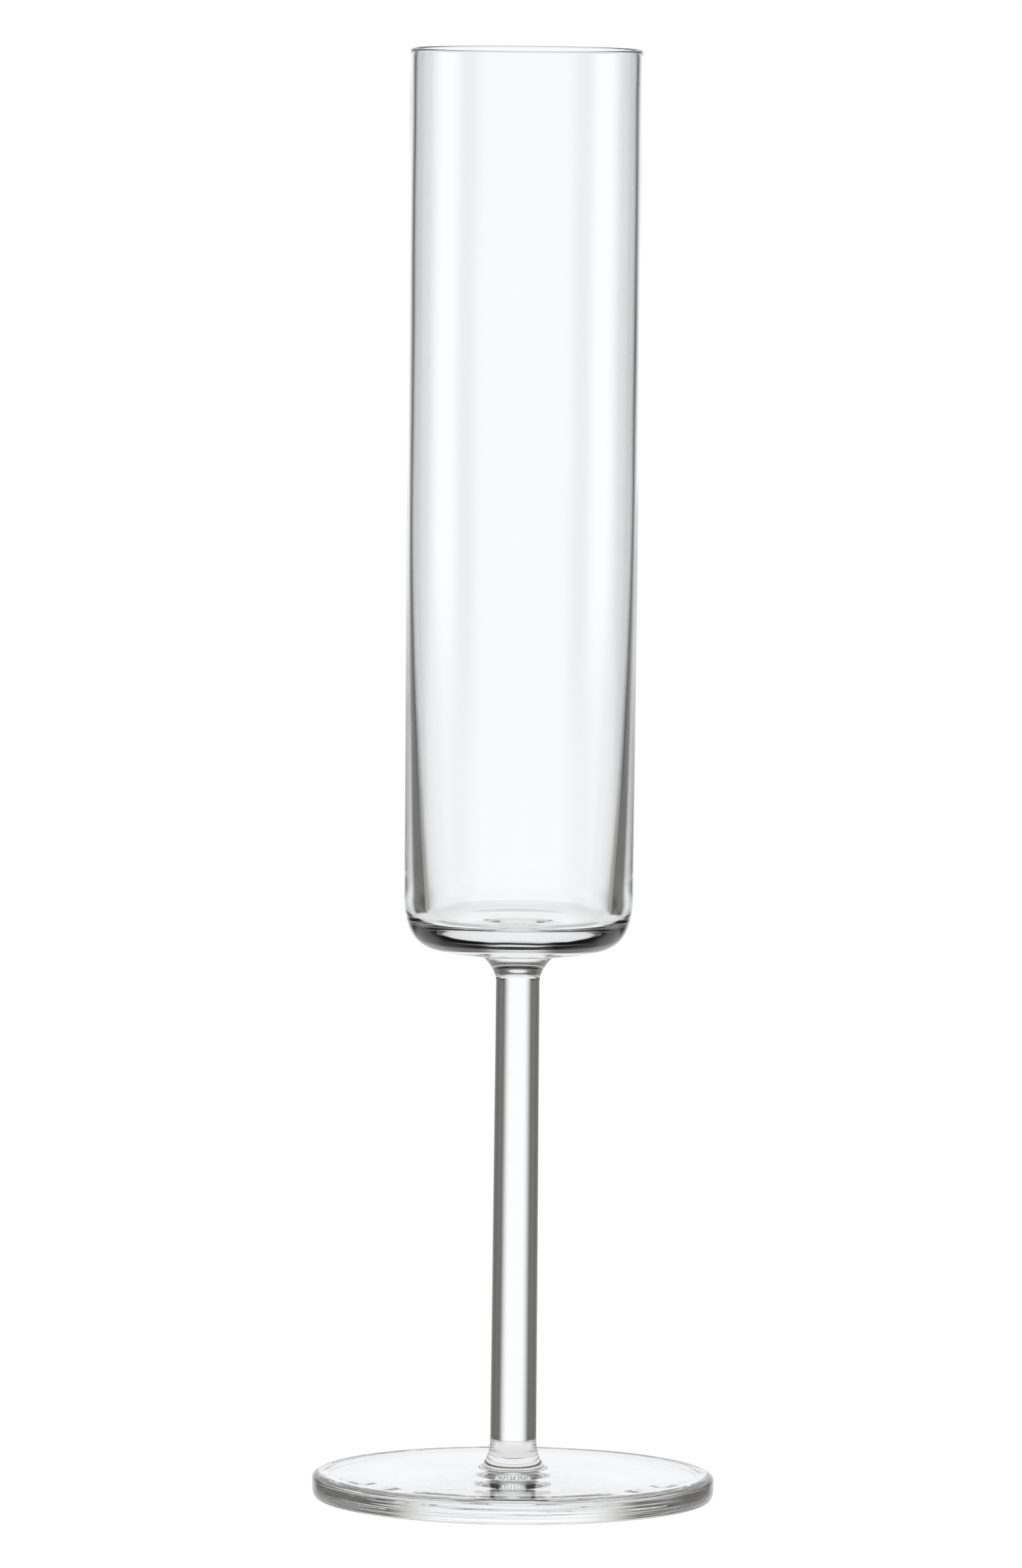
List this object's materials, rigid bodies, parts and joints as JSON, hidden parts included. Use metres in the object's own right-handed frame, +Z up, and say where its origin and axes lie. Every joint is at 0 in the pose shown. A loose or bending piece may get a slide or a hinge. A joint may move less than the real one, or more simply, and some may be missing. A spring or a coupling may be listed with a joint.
{
  "type": "champagne flute",
  "caption": "Tall clear glass champagne flute: a straight cylindrical bowl with a heavy rounded base, on a slim drawn stem fused to a round disc foot.",
  "frame": {"origin": "centre of the plane that the foot stands on", "axes": "+Z up along the axis of the foot, stem and bowl; X and Y are any two level directions, because the glass is round"},
  "size_m": [0.0688, 0.0688, 0.248],
  "materials": {
    "bowl_glass": "clear polished crystal glass",
    "stem_glass": "clear fire-polished crystal glass",
    "foot_glass": "clear pressed crystal glass, faintly rippled"
  },
  "bodies": {
    "root": {"bowl": "bowl_glass", "stem": "stem_glass", "foot": "foot_glass"}
  },
  "joints": []
}
